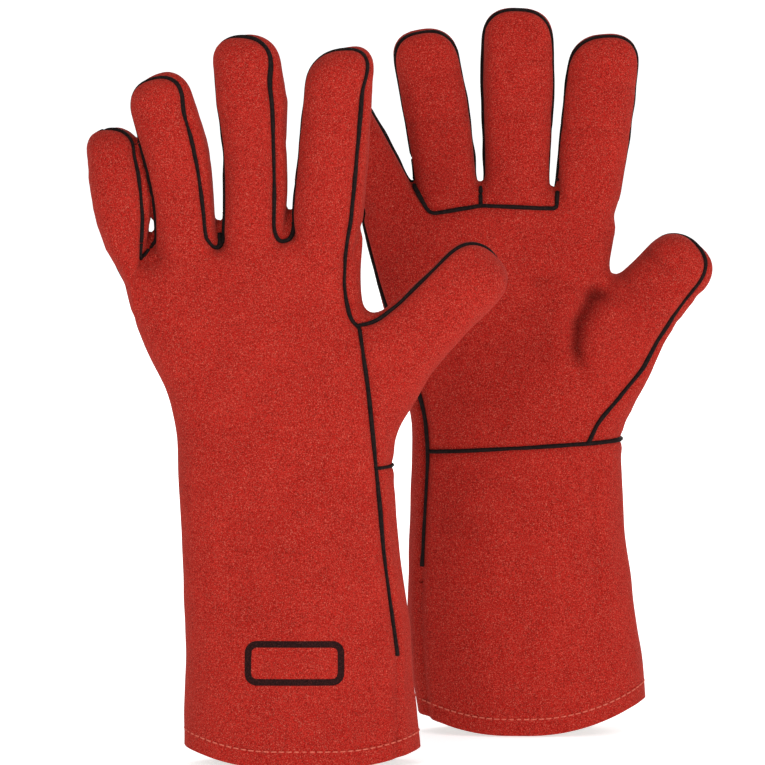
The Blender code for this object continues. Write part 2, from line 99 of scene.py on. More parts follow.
# Unevenness of the leather: height, size and where in the noise it is read.
SWELLS = ((0.75, 34.0, 0.0), (0.32, 13.0, 40.0))
PUCKER_HEIGHT = 0.22
PUCKER_SIZE = 6.5
RIDGE_HEIGHT = 0.35  # the leather swells up beside a seam
RIDGE_AWAY = 5.5
RIDGE_WIDTH = 3.0
CREASE_LIP = 0.4  # share of a crease's depth that rises beside it
WRIST_FOLD_HEIGHT = 0.4
WRIST_FOLD_MIDDLE = 152.0
WRIST_FOLD_REACH = 16.0
WRIST_FOLD_SPACING = 4.6
KNUCKLES = (0.42, 0.70)  # shares of a digit's length
KNUCKLE_CREASE = 0.9
KNUCKLE_SWELL = 0.3
NOISE_SEEDS = {"left": 11, "right": 12}

# Each lining: lowest and highest ring, and how far it lies inside the outer surface.
CUFF_LINING = (11.0, 137.0, 3.0)
HAND_LINING = (141.0, 228.0, 7.0)
LINING_THICKNESS = 1.4
LINING_RINGS = 22
LINING_SIDES = 72
THUMB_SIDE_STOP = 52.0  # the side piping ends at these heights
PINKY_SIDE_STOP = 80.0

# Dark, main and lightest colour of each material.
LEATHER_RED = ((0.37, 0.0135, 0.0090), (0.425, 0.018, 0.0115), (0.63, 0.15, 0.10))
PRINT_BLACK = ((0.012, 0.006, 0.006), (0.02, 0.008, 0.008), (0.09, 0.02, 0.018))
PIPING_BLACK = ((0.004, 0.003, 0.003), (0.018, 0.010, 0.009))
FLEECE_CREAM = ((0.50, 0.45, 0.36), (0.80, 0.74, 0.62))
THREAD_PINK = ((0.46, 0.07, 0.045), (0.60, 0.15, 0.10))

FLOOR_SIZE = 40.0
FLOOR_GAP = 0.0005
LIGHT_SIZE = 1.2
LIGHTS = (
    ("key", (-0.9, -3.0, 0.8), 33.0),
    ("fill", (1.8, -2.2, 0.0), 46.0),
    ("rim", (0.9, 2.6, 1.0), 36.0),
)
CAMERA_LENS = 700.0
CAMERA_SENSOR = 36.0
CAMERA_ELEVATION = math.radians(4.6)
CAMERA_MARGIN = 1.047  # height of the view over the height of the pair
CAMERA_SHIFT = 0.0095  # the camera aims this far left of the middle
CAMERA_HEIGHT_SHARE = 0.4995

DIGITS = ("pinky", "ring", "middle", "index", "thumb")

# Sections of a glove's sleeve and hand: height, left edge, right edge, half-depth. Digits:
# lean to the thumb side, length, (distance, half-width) pairs, half-depths at the fold and at
# the tip, sideways bow and curl toward the palm at the tip, seam offset and tilt as shares of
# the depth.
LEFT = {
    "hem": (0.0, 9.0, 8.0, 0.25),
    "sections": (
        (-30.0, -56.6, 58.0, 31.5),
        (0.0, -56.6, 56.3, 31.0),
        (55.0, -55.7, 51.0, 29.0),
        (99.0, -57.6, 46.6, 27.0),
        (134.0, -58.8, 43.4, 24.5),
        (155.0, -59.8, 42.0, 23.4),
        (175.0, -64.3, 41.0, 22.0),
        (194.0, -73.0, 38.0, 20.5),
        (210.0, -79.0, 31.0, 19.0),
        (219.0, -81.6, 28.6, 18.0),
        (233.0, -85.4, 27.6, 16.4),
        (250.0, -90.5, 29.0, 14.5),
        (270.0, -94.0, 30.0, 13.0),
    ),
    "digits": {
        "pinky": (
            -9.0, 56.0, ((-18.0, 2.0), (0.0, 9.5), (12.0, 12.6), (22.0, 13.6), (34.0, 13.5), (44.0, 12.4)),
            (12.6, 12.0), 1.5, 7.0, 0.0,
        ),
        "ring": (
            -12.0, 80.0, ((-14.0, 14.6), (20.0, 15.0), (45.0, 15.8), (62.0, 15.2)),
            (13.2, 12.4), 3.6, 3.0, 0.2,
        ),
        "middle": (
            -3.0, 92.0, ((-14.0, 14.8), (40.0, 14.8), (60.0, 16.6), (76.0, 16.0)),
            (13.6, 12.8), 2.5, 4.0, 0.0,
        ),
        "index": (
            5.0, 86.0, ((-18.0, 13.0), (4.0, 16.8), (45.0, 16.4), (66.0, 16.2)),
            (13.8, 12.8), 0.5, 3.0, 0.3,
        ),
        "thumb": (
            46.0, 78.0, ((-20.0, 29.0), (0.0, 24.0), (15.0, 19.8), (30.0, 17.6), (50.0, 17.2)),
            (17.0, 13.5), 0.5, 4.0, 0.0,
        ),
    },
    "seams": {
        "pinky": (-0.30, -0.80), "ring": (-0.52, -0.60), "middle": (-0.52, -0.60), "index": (-0.44, -0.54),
    },
    "web_rise": 13.0,
    "back_seam": (
        (-40.0, 45.0), (54.0, 45.0), (71.0, 42.6), (101.0, 38.6), (141.0, 35.0), (179.0, 31.0),
        (215.0, 25.8), (245.0, 23.4), (252.0, 24.5), (262.0, 60.0),
    ),
    "sleeve_seam": (-2.4, -0.38, -0.20),
    "print": True,
    "creases": (
        (((32.0, 215.0), (24.0, 204.0), (21.0, 190.0), (24.0, 176.0)), 3.4, 3.0),
        (((30.0, 216.0), (8.0, 221.0), (-10.0, 219.0)), 1.0, 3.5),
    ),
}
RIGHT = {
    "hem": (-0.15, 9.0, 17.0, 0.10),
    "sections": (
        (-30.0, -50.0, 53.0, 31.5),
        (0.0, -53.5, 56.4, 31.0),
        (30.0, -58.2, 54.0, 30.0),
        (60.0, -60.6, 50.0, 29.0),
        (95.0, -59.6, 45.2, 27.0),
        (134.0, -58.0, 43.8, 24.6),
        (155.0, -58.6, 43.4, 23.4),
        (175.0, -63.0, 43.0, 22.0),
        (194.0, -68.5, 43.0, 20.5),
        (210.0, -73.0, 38.5, 19.0),
        (220.0, -75.5, 36.5, 18.0),
        (235.0, -79.5, 39.6, 16.4),
        (253.0, -84.0, 42.6, 14.5),
        (275.0, -88.0, 44.0, 13.0),
    ),
    "digits": {
        "pinky": (
            -27.0, 50.0, ((-18.0, 9.0), (-6.0, 13.0), (28.0, 12.8), (38.0, 12.0)),
            (12.6, 12.0), 0.0, 2.0, 0.0,
        ),
        "ring": (
            -9.5, 75.5, ((-14.0, 15.0), (10.0, 15.0), (40.0, 15.8), (60.0, 15.4)),
            (13.2, 12.4), 1.0, 4.0, 0.0,
        ),
        "middle": (
            0.5, 87.0, ((-14.0, 15.8), (14.0, 15.8), (50.0, 17.6), (72.0, 17.2)),
            (13.6, 12.8), 0.0, 4.0, 0.0,
        ),
        "index": (
            6.5, 81.0, ((-18.0, 12.0), (4.0, 16.0), (48.0, 17.0), (66.0, 16.8)),
            (13.8, 12.8), 0.5, 3.0, 0.15,
        ),
        "thumb": (
            41.0, 62.0, ((-20.0, 29.0), (0.0, 24.0), (14.0, 19.8), (28.0, 17.4), (40.0, 16.8)),
            (17.0, 13.5), -1.0, 4.0, 0.0,
        ),
    },
    "seams": {
        "pinky": (0.05, 0.05), "ring": (0.0, 0.0), "middle": (0.02, 0.10), "index": (0.0, -0.10),
    },
    "web_rise": 8.0,
    "back_seam": (
        (-40.0, 44.0), (54.0, 44.0), (101.0, 39.0), (141.0, 36.0), (179.0, 36.0), (217.0, 34.0),
        (245.0, 37.0), (256.0, 40.0), (264.0, 80.0),
    ),
    "sleeve_seam": (-2.4, -0.42, -0.30),
    "creases": (
        (((38.0, 218.0), (29.0, 211.0), (22.5, 200.0), (21.5, 188.0), (25.0, 172.0)), 3.6, 4.0),
        (((34.0, 214.0), (14.0, 221.0), (-6.0, 219.0)), 1.0, 3.5),
        (((30.0, 134.0), (30.0, 100.0), (31.5, 55.0)), 0.9, 2.6),
    ),
    "print": False,
}


def joint(name):
    return next(j for j in frame["record"]["behaviour"]["joints"] if j["name"] == name)


def ground(height, left, right):
    """0 at and below left, 1 at and above right, smooth between."""
    t = np.clip((height - left) / (right - left), 0.0, 1.0)
    return t * t * (3.0 - 2.0 * t)


def soft_least(first, second, reach):
    """The smaller of two distances, rounded where they meet."""
    h = np.clip(0.5 + 0.5 * (second - first) / reach, 0.0, 1.0)
    return second + (first - second) * h - reach * h * (1.0 - h)


def bulge(x, w, end, half_width, half_depth, end_reach):
    """Distance to a superellipse section whose end is rounded off."""
    xs = np.abs(x) / half_width
    ws = np.abs(w) / half_depth
    xp = xs ** (POWER - 1.0)
    wp = ws ** (POWER - 1.0)
    ep = end ** (POWER - 1.0)
    total = xp * xs + wp * ws + ep * end + CRISP
    rho = total ** (1.0 / POWER)
    slope = np.sqrt((xp / half_width) ** 2 + (wp / half_depth) ** 2 + (ep / end_reach) ** 2)
    slope *= rho ** (1.0 - POWER)
    return (rho - 1.0) / np.maximum(slope, 0.4 / np.maximum(half_width, half_depth))


class Noise:
    """Smooth random values on a repeating lattice."""

    def __init__(self, seed, size=32):
        self.size = size
        self.values = np.random.default_rng(seed).uniform(-1.0, 1.0, (size, size, size))

    def at(self, points, scale):
        place = points / scale
        cell = np.floor(place).astype(int)
        t = place - cell
        t = t * t * (3.0 - 2.0 * t)
        total = np.zeros(len(points))
        for i in (0, 1):
            for j in (0, 1):
                for k in (0, 1):
                    index = (cell + (i, j, k)) % self.size
                    share = np.prod(np.where((i, j, k), t, 1.0 - t), axis=1)
                    total += share * self.values[index[:, 0], index[:, 1], index[:, 2]]
        return total


class Digit:
    """A finger or thumb: its frame, its distance field and its seam."""

    def __init__(self, glove, name, spec):
        lean, self.length, widths, self.depths, self.bow, self.curl, self.slant = spec
        hinge = joint(f"{glove.name}_{name}_fold")
        self.name = name
        self.base = glove.local(hinge["pos_m"])
        self.base = self.base * (1.0, 0.0, 1.0)
        turn = math.radians(lean)
        self.along = np.array((math.sin(turn), 0.0, math.cos(turn)))
        self.across = np.array((math.cos(turn), 0.0, -math.sin(turn)))
        axis = np.array((hinge["axis"][0], 0.0, hinge["axis"][2]))
        beyond = np.array((-axis[2], 0.0, axis[0]))
        self.beyond = beyond if beyond @ self.along > 0.0 else -beyond
        self.axis = np.array((self.beyond[2], 0.0, -self.beyond[0]))
        self.widths = widths
        self.tip = widths[-1][1]

    def coordinates(self, points):
        rel = points - self.base
        s = rel @ self.along
        share = np.clip(s / self.length, 0.0, 1.1)
        x = rel @ self.across - self.bow * 4.0 * share * (1.0 - share)
        w = points[:, 1] - self.curl * share**2
        return s, x, w

    def half_depth(self, s):
        return np.interp(s, (0.0, self.length), self.depths)

    def distance(self, points):
        s, x, w = self.coordinates(points)
        knots, values = zip(*self.widths)
        a = np.interp(s, knots, values)
        start = self.length - self.tip
        end = np.maximum(0.0, s - start - self.slant * (x - 0.4 * self.tip)) / self.tip
        end = np.maximum(end, np.maximum(0.0, knots[0] - s) / self.tip)
        return bulge(x, w, end, a, self.half_depth(s), self.tip)

    def past_fold(self, points):
        return (points - self.base) @ self.beyond


class Glove:
    """One glove's surface and the fields that divide it."""

    def __init__(self, name, spec):
        self.name = name
        self.spec = spec
        wrist = joint(name + "_wrist_fold")
        self.origin = np.array(wrist["pos_m"]) * (1.0, 1.0, 0.0)
        self.unit = wrist["pos_m"][2] / WRIST
        self.palm = -np.sign(wrist["axis"][0])
        heights = np.arange(-30.0, 300.0, 1.0)
        table = np.array(spec["sections"])
        kernel = np.exp(-0.5 * (np.arange(-15, 16) / 5.0) ** 2)
        kernel /= kernel.sum()
        self.heights = heights
        self.profile = []
        for column in (1, 2, 3):
            values = np.interp(heights, table[:, 0], table[:, column])
            padded = np.pad(values, 15, mode="edge")
            self.profile.append(np.convolve(padded, kernel, mode="valid"))
        self.digits = {n: Digit(self, n, spec["digits"][n]) for n in DIGITS}
        self.fingers = [self.digits[n] for n in DIGITS[:4]]
        self.thumb = self.digits["thumb"]
        self.noise = Noise(NOISE_SEEDS[name])
        folds = [self.fold_end(self.fingers[0], -1.0)]
        folds += [
            0.5 * (self.fold_end(a, 1.0) + self.fold_end(b, -1.0))
            for a, b in zip(self.fingers, self.fingers[1:])
        ]
        self.folds = np.array(folds + [self.fold_end(self.fingers[3], 1.0)])

    def fold_end(self, digit, side):
        """An end of a digit's folding line, a little outside its width there."""
        half = digit.widths[0][1] + 0.4
        return digit.base + side * half * digit.axis

    def local(self, place):
        rel = (np.array(place) - self.origin) / self.unit
        return rel * (1.0, self.palm, 1.0)

    def world(self, points):
        return self.origin + points * (1.0, self.palm, 1.0) * self.unit

    def section(self, v):
        return [np.interp(v, self.heights, column) for column in self.profile]

    def sleeve(self, points):
        """Distance to the cuff and hand without the digits."""
        u, w, v = points.T
        left, right, depth = self.section(v)
        web = self.spec["web_rise"] * ground(w, -7.0, 3.0)
        top = np.interp(u, self.folds[:, 0], self.folds[:, 2]) - 5.0 + web
        reach = 15.0
        end = np.maximum(0.0, v - top + reach) / reach
        centre = 0.5 * (left + right)
        return bulge(u - centre, w, end, 0.5 * (right - left), depth, reach)

    def distance(self, points):
        d = self.sleeve(points)
        for digit in self.fingers:
            d = soft_least(d, digit.distance(points), FINGER_FILLET)
        return soft_least(d, self.thumb.distance(points), THUMB_FILLET)

    def hem(self, u):
        left, right, _ = self.section(np.zeros_like(u))
        share = (u - 0.5 * (left + right)) / (0.5 * (right - left))
        lowest, left_rise, right_rise, flat = self.spec["hem"]
        share = share - lowest
        reach = np.where(share > 0.0, 1.0 - lowest, 1.0 + lowest) - flat
        beyond = np.clip((np.abs(share) - flat) / reach, 0.0, 1.1)
        return np.where(share > 0.0, right_rise, left_rise) * beyond**2

    def back_field(self, points):
        """Negative on the back panel, positive on the palm-side leather."""
        u, w, v = points.T
        constant, pinky_slope, thumb_slope = self.spec["sleeve_seam"]
        low = constant + np.where(u < -8.0, pinky_slope, thumb_slope) * (u + 8.0)
        left, right, depth = self.section(v)
        share = (u - 0.5 * (left + right)) / (0.5 * (right - left))
        high = -0.25 * depth - 0.45 * depth * share
        sleeve = low + (high - low) * ground(v, 130.0, 225.0)
        weight = np.exp(-np.clip(self.sleeve(points), -12.0, 40.0) / 3.0)
        total = weight * sleeve
        for digit in self.fingers:
            s, x, _ = digit.coordinates(points)
            b = digit.half_depth(s)
            offset, tilt = self.spec["seams"][digit.name]
            plane = b * (offset + tilt * x / digit.tip) + digit.curl * (s / digit.length) ** 2
            plane += TIP_SEAM_SHIFT * ground(s, 0.72 * digit.length, 0.95 * digit.length)
            near = np.exp(-np.clip(digit.distance(points), -12.0, 40.0) / 3.0)
            total += near * plane
            weight = weight + near
        line = np.interp(v, *zip(*self.spec["back_seam"]))
        return np.maximum(w - total / weight, 0.8 * (u - line))

    def thumb_field(self, points):
        """Negative on the thumb's back piece, positive on the palm's leather."""
        s, x, w = self.thumb.coordinates(points)
        slope = 0.6 + 0.25 * ground(s, 0.0, -40.0)
        return w - slope * x - 1.0 - 2.0 * ground(s, 20.0, 60.0)

    def wrist_field(self, points):
        return points[:, 2] - WRIST + 0.5 - 0.055 * points[:, 0]

    def root_field(self, points):
        """Positive on the palm-side leather at the roots of the ring and middle fingers."""
        u, _, v = points.T
        first, mid, last = self.folds[1:4]
        knots = (first[0] + 10.0, mid[0], last[0])
        heights = (first[2] - 13.5, mid[2] - 9.0, last[2] - 8.0)
        bottom = v - np.interp(u, knots, heights)
        slanting = 0.877 * (u - first[0] - 10.0) + 0.481 * (v - first[2] + 14.0)
        return soft_least(soft_least(bottom, slanting, 2.0), last[0] + 0.5 - u, 2.0)

    def root_middle(self, points):
        """Zero on the short seam between the roots of the ring and middle fingers."""
        return points[:, 0] - self.folds[2][0]

    def finger_field(self, index, points):
        """Positive beyond a finger's folding line and between its neighbours."""
        digit = self.fingers[index]
        value = digit.past_fold(points)
        for side, other in ((-1.0, index - 1), (1.0, index + 1)):
            if 0 <= other < 4:
                crotch = self.folds[index + (1 if side > 0.0 else 0)]
                mean = digit.across + self.fingers[other].across
                value = np.minimum(value, -side * ((points - crotch) @ mean) * 0.5)
        return value

    def thumb_region(self, points):
        """Positive on the thumb beyond its folding line."""
        digit = self.thumb
        ends = [digit.base + side * 30.0 * digit.axis for side in (-1.0, 1.0)]
        low, high = sorted(ends, key=lambda p: p[2])
        value = np.minimum(digit.past_fold(points), points[:, 2] - low[2] - 0.5)
        rel = points - high
        return np.minimum(value, rel[:, 0] * 0.83 - rel[:, 2] * 0.55)


def surface_nets(values, start):
    """A quad mesh through the zero level of a grid, one vertex a cell."""
    shape = np.array(values.shape) - 1
    place = np.zeros((*shape, 3))
    count = np.zeros(shape)
    quads = []
    inside = values < 0.0
    number = np.arange(np.prod(shape)).reshape(shape)
    for axis in range(3):
        others = [i for i in range(3) if i != axis]
        first = np.take(values, range(shape[axis]), axis)
        second = np.take(values, range(1, shape[axis] + 1), axis)
        crossing = (first < 0.0) != (second < 0.0)
        share = np.where(crossing, first / np.where(crossing, first - second, 1.0), 0.0)
        for i in (0, 1):
            for j in (0, 1):
                window = [slice(None)] * 3
                window[others[0]] = slice(i, i + shape[others[0]])
                window[others[1]] = slice(j, j + shape[others[1]])
                hit = crossing[tuple(window)]
                count += hit
                place[..., axis] += np.where(hit, share[tuple(window)], 0.0)
                place[..., others[0]] += hit * i
                place[..., others[1]] += hit * j
        window = [slice(None)] * 3
        window[others[0]] = slice(1, shape[others[0]])
        window[others[1]] = slice(1, shape[others[1]])
        found = np.argwhere(crossing[tuple(window)])
        found[:, others[0]] += 1
        found[:, others[1]] += 1
        corners = []
        for i, j in ((1, 1), (0, 1), (0, 0), (1, 0)):
            cell = found.copy()
            cell[:, others[0]] -= i
            cell[:, others[1]] -= j
            corners.append(number[tuple(cell.T)])
        quad = np.stack(corners, axis=1)
        flip = inside[tuple(found.T)] == (axis == 1)
        quad[flip] = quad[flip][:, ::-1]
        quads.append(quad)
    quads = np.concatenate(quads)
    used, packed = np.unique(quads, return_inverse=True)
    cells = np.stack(np.unravel_index(used, shape), axis=1)
    mean = place.reshape(-1, 3)[used] / count.reshape(-1)[used][:, None]
    return start + GRID * (cells + mean), packed.reshape(-1, 4)


def gradient(field, points, step=0.25):
    columns = []
    for axis in range(3):
        shift = np.zeros(3)
        shift[axis] = step
        columns.append((field(points + shift) - field(points - shift)) / (2.0 * step))
    return np.stack(columns, axis=1)


def onto_surface(glove, points, rounds=2):
    for _ in range(rounds):
        slope = gradient(glove.distance, points)
        square = np.maximum((slope**2).sum(axis=1), 0.05)
        points = points - slope * (glove.distance(points) / square)[:, None]
    return points


def base_surface(glove):
    """The glove's whole surface as triangles."""
    reach = [d.base + d.along * (d.length + 8.0) for d in glove.digits.values()]
    low = np.array((min(p[0] for p in reach) - 16.0, -38.0, -8.0))
    high = np.array((max(p[0] for p in reach) + 18.0, 38.0, max(p[2] for p in reach)))
    low[0] = min(low[0], -64.0)
    high[0] = max(high[0], 62.0)
    axes = [np.arange(a, b, GRID) for a, b in zip(low, high)]
    grid = np.stack(np.meshgrid(*axes, indexing="ij"), axis=-1)
    values = glove.distance(grid.reshape(-1, 3)).reshape(grid.shape[:3])
    points, quads = surface_nets(values, low)
    points = onto_surface(glove, points)
    return points, np.concatenate([quads[:, [0, 1, 2]], quads[:, [0, 2, 3]]])


def cut_along(glove, points, triangles, labels, field, targets, new_label):
    """Cuts the triangles with the target labels where a field is zero; the positive side
    takes the new label, or is removed when that is None."""
    chosen = np.isin(labels, targets)
    value = field(points)
    value = np.where(np.abs(value) < 0.02, 0.02, value)
    positive = value > 0.0
    count = positive[triangles].sum(axis=1)
    crossed = chosen & (count > 0) & (count < 3)
    whole = chosen & (count == 3)
    cut = triangles[crossed]
    old = labels[crossed]
    lone_positive = count[crossed] == 1
    signs = positive[cut] == lone_positive[:, None]
    turn = np.argmax(signs, axis=1)
    rows = np.arange(len(cut))
    a = cut[rows, turn]
    b = cut[rows, (turn + 1) % 3]
    c = cut[rows, (turn + 2) % 3]
    pairs = np.sort(np.concatenate([np.stack([a, b], 1), np.stack([a, c], 1)]), axis=1)
    edges, back = np.unique(pairs, axis=0, return_inverse=True)
    back = back.reshape(-1)
    f0, f1 = value[edges[:, 0]], value[edges[:, 1]]
    t = np.clip(f0 / (f0 - f1), 0.02, 0.98)[:, None]
    fresh = points[edges[:, 0]] * (1.0 - t) + points[edges[:, 1]] * t
    fresh = onto_surface(glove, fresh, 1) if len(fresh) else fresh
    ab = len(points) + back[: len(cut)]
    ac = len(points) + back[len(cut) :]
    points = np.concatenate([points, fresh])
    tips = np.stack([a, ab, ac], 1)
    rests = np.concatenate([np.stack([ab, b, c], 1), np.stack([ab, c, ac], 1)])
    mark = REMOVED if new_label is None else new_label
    labels = labels.copy()
    labels[whole] = mark
    tip_labels = np.where(lone_positive, mark, old)
    rest_labels = np.tile(np.where(lone_positive, old, mark), 2)
    triangles = np.concatenate([triangles[~crossed], tips, rests])
    labels = np.concatenate([labels[~crossed], tip_labels, rest_labels])
    keep = labels != REMOVED
    return points, triangles[keep], labels[keep]


# Labels of the surface's panels.
CUFF_BACK, HAND_BACK, CUFF_PALM, PALM, STRIP, ROOTS, ROOT_MIDDLE, PRINT = range(8)
REMOVED = -999

# The printed frame on the left sleeve.
PRINT_MIDDLE = (-4.0, 50.0)
PRINT_HALF_WIDTH = 22.0
PRINT_HALF_HEIGHT = 9.0
PRINT_CORNER = 4.0
PRINT_HALF_LINE = 1.6
DIGIT_LABEL = 10  # plus twice the digit's number, and one more for its palm side


def print_field(points):
    """Positive on a plain printed frame: an empty rectangle with rounded corners."""
    across = np.abs(points[:, 0] - PRINT_MIDDLE[0]) - PRINT_HALF_WIDTH + PRINT_CORNER
    up = np.abs(points[:, 2] - PRINT_MIDDLE[1]) - PRINT_HALF_HEIGHT + PRINT_CORNER
    outside = np.hypot(np.maximum(across, 0.0), np.maximum(up, 0.0))
    distance = outside + np.minimum(np.maximum(across, up), 0.0) - PRINT_CORNER
    return PRINT_HALF_LINE - np.abs(distance)


def divided_surface(glove):
    """The surface with every panel's label."""
    points, triangles = base_surface(glove)
    labels = np.zeros(len(triangles), int)

    def cut(field, targets, new_label):
        nonlocal points, triangles, labels
        points, triangles, labels = cut_along(
            glove, points, triangles, labels, field, targets, new_label
        )

    cut(lambda p: glove.hem(p[:, 0]) - p[:, 2], [CUFF_BACK], None)
    for index in range(4):
        cut(lambda p: glove.finger_field(index, p), [CUFF_BACK], DIGIT_LABEL + 2 * index)
        mark = DIGIT_LABEL + 2 * index
        cut(glove.back_field, [mark], mark + 1)
    mark = DIGIT_LABEL + 8
    cut(glove.thumb_region, [CUFF_BACK], mark)
    cut(glove.thumb_field, [mark], mark + 1)
    cut(glove.back_field, [CUFF_BACK], CUFF_PALM)
    cut(glove.wrist_field, [CUFF_BACK], HAND_BACK)
    cut(glove.wrist_field, [CUFF_PALM], PALM)
    cut(lambda p: -glove.thumb_field(p), [PALM], STRIP)
    cut(glove.root_field, [PALM], ROOTS)
    cut(glove.root_middle, [ROOTS], ROOT_MIDDLE)
    if glove.spec["print"]:
        cut(print_field, [CUFF_BACK], PRINT)
    return points, triangles, labels


def vertex_normals(points, triangles):
    a, b, c = (points[triangles[:, i]] for i in range(3))
    face = np.cross(b - a, c - a)
    total = np.zeros_like(points)
    for i in range(3):
        np.add.at(total, triangles[:, i], face)
    return total / np.maximum(np.linalg.norm(total, axis=1), 1e-12)[:, None]


def seam_distance(field, points, normals):
    """Distance along the surface to a seam."""
    slope = gradient(field, points)
    slope -= (slope * normals).sum(axis=1)[:, None] * normals
    return np.abs(field(points)) / np.maximum(np.linalg.norm(slope, axis=1), 0.35)


def polyline_distance(points, line):
    """Distance in the u-v plane to a polyline, and the share of the way along it."""
    best = np.full(len(points), 1e9)
    share = np.zeros(len(points))
    flat = points[:, [0, 2]]
    pieces = len(line) - 1
    for index, (start, end) in enumerate(zip(line, line[1:])):
        start, end = np.array(start), np.array(end)
        way = end - start
        t = np.clip(((flat - start) @ way) / (way @ way), 0.0, 1.0)
        away = np.linalg.norm(flat - start - t[:, None] * way, axis=1)
        share = np.where(away < best, (index + t) / pieces, share)
        best = np.minimum(best, away)
    return best, share


def relief(glove, points, normals):
    """How far the leather stands out from the plain surface, in millimetres."""
    w = points[:, 1]
    groove = np.full(len(points), 1e9)
    on_thumb = glove.thumb_region(points) > 0.0
    back = seam_distance(glove.back_field, points, normals)
    groove = np.where(on_thumb, groove, back)
    side = seam_distance(glove.thumb_field, points, normals)
    behind = glove.back_field(points) > 0.0
    above_wrist = glove.wrist_field(points) > 0.0
    near_thumb = on_thumb | (behind & above_wrist)
    groove = np.where(near_thumb, np.minimum(groove, side), groove)
    wrist = np.abs(glove.wrist_field(points))
    groove = np.where(behind, np.minimum(groove, wrist), groove)
    root = seam_distance(glove.root_field, points, normals)
    middle = np.where(glove.root_field(points) > 0.0, np.abs(glove.root_middle(points)), 1e9)
    root = np.minimum(root, middle)
    palm_side = behind & (w > 0.0) & ~on_thumb
    groove = np.where(palm_side, np.minimum(groove, root), groove)
    height = -GROOVE_DEPTH * np.exp(-((groove / GROOVE_WIDTH) ** 2))
    height += RIDGE_HEIGHT * np.exp(-(((groove - RIDGE_AWAY) / RIDGE_WIDTH) ** 2))
    calm = ground(groove, 1.0, 8.0)
    for swell, size, shift in SWELLS:
        height += swell * glove.noise.at(points + shift, size) * calm
    stretched = points * (1.0, 1.0, 0.45) + 90.0
    height += PUCKER_HEIGHT * glove.noise.at(stretched, PUCKER_SIZE) * calm
    height += wrist_wrinkles(glove, points) * calm
    for line, depth, width in glove.spec["creases"]:
        away, share = polyline_distance(points, line)
        faded = ground(share, 0.0, 0.15) * ground(share, 1.0, 0.75) * ground(w, 2.0, 10.0)
        height -= depth * np.exp(-((away / width) ** 2)) * faded
        lip = np.exp(-(((away - 2.6 * width) / (1.4 * width)) ** 2))
        height += CREASE_LIP * depth * lip * faded
    for digit in glove.digits.values():
        height += digit_wrinkles(glove, digit, points) * calm
    return height


def wrist_wrinkles(glove, points):
    """Shallow folds running across the wrist."""
    u, _, v = points.T
    wobble = 6.0 * glove.noise.at(points * (1.0, 1.0, 0.3) + 7.0, 40.0)
    wave = np.sin((v + wobble + 0.12 * u) / WRIST_FOLD_SPACING)
    patch = 0.5 + 0.5 * glove.noise.at(points + 19.0, 30.0)
    near = np.exp(-(((v - WRIST_FOLD_MIDDLE) / WRIST_FOLD_REACH) ** 2))
    return WRIST_FOLD_HEIGHT * wave * near * patch


def digit_wrinkles(glove, digit, points):
    """Creases across a digit where its joints bend it."""
    s, _, w = digit.coordinates(points)
    near = digit.distance(points) < 3.0
    palm_side = ground(w, -4.0, 6.0)
    total = np.zeros(len(points))
    for share in KNUCKLES:
        centre = share * digit.length + 1.5 * glove.noise.at(points + 60.0, 15.0)
        total -= KNUCKLE_CREASE * np.exp(-(((s - centre) / 2.4) ** 2)) * palm_side
        total += KNUCKLE_SWELL * np.exp(-(((s - centre) / 7.0) ** 2))
    return np.where(near & (s > 4.0), total, 0.0)


def build_mesh(name, points, triangles, normals, shade=None):
    """A mesh with given corner normals, keeping its resting place for the materials."""
    mesh = bpy.data.meshes.new(name)
    mesh.vertices.add(len(points))
    mesh.vertices.foreach_set("co", points.astype(np.float32).reshape(-1))
    mesh.loops.add(triangles.size)
    mesh.loops.foreach_set("vertex_index", triangles.astype(np.int32).reshape(-1))
    mesh.polygons.add(len(triangles))
    mesh.polygons.foreach_set("loop_start", np.arange(0, triangles.size, 3, dtype=np.int32))
    mesh.update(calc_edges=True)
    mesh.polygons.foreach_set("use_smooth", np.ones(len(triangles), bool))
    rest = mesh.attributes.new("rest", "FLOAT_VECTOR", "POINT")
    rest.data.foreach_set("vector", points.astype(np.float32).reshape(-1))
    if shade is not None:
        layer = mesh.attributes.new("shade", "FLOAT", "POINT")
        layer.data.foreach_set("value", shade.astype(np.float32))
    if normals is not None:
        mesh.normals_split_custom_set(normals.reshape(-1, 3).tolist())
    item = bpy.data.objects.new(name, mesh)
    bpy.context.scene.collection.objects.link(item)
    return item


def boundary_edges(triangles):
    """Directed edges that only one triangle has."""
    edges = np.concatenate([triangles[:, [0, 1]], triangles[:, [1, 2]], triangles[:, [2, 0]]])
    key = np.sort(edges, axis=1)
    _, first, counts = np.unique(key, axis=0, return_index=True, return_counts=True)
    return edges[first[counts == 1]]


